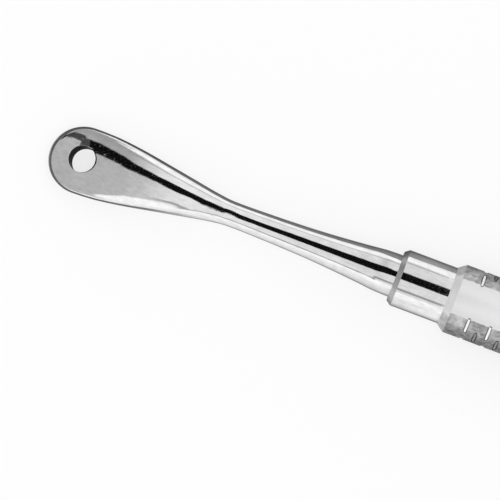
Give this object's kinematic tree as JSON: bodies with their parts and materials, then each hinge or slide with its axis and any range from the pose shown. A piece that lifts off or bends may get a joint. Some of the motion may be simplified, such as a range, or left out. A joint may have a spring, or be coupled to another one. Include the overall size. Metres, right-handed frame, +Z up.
{
  "type": "periosteal elevator",
  "caption": "Surgical elevator: a pierced round-ended paddle on a bent, tapered shank, set by a polished collar in a notched tube handle.",
  "frame": {"origin": "on the table, under the middle of the instrument's length, below the handle's axis", "axes": "+X along the handle from the paddle to the end plug, +Z up from the table through the bare flank and the paddle's rounded back"},
  "size_m": [0.1632, 0.0094, 0.0095],
  "materials": {
    "polished_steel": "mirror-polished stainless steel",
    "polished_collar": "turned and mirror-polished stainless steel",
    "satin_steel": "bead-blasted satin stainless steel",
    "polished_plug": "turned and polished stainless steel"
  },
  "bodies": {
    "root": {"blade": "polished_steel", "ferrule": "polished_collar", "handle": "satin_steel", "end_plug": "polished_plug"}
  },
  "joints": []
}
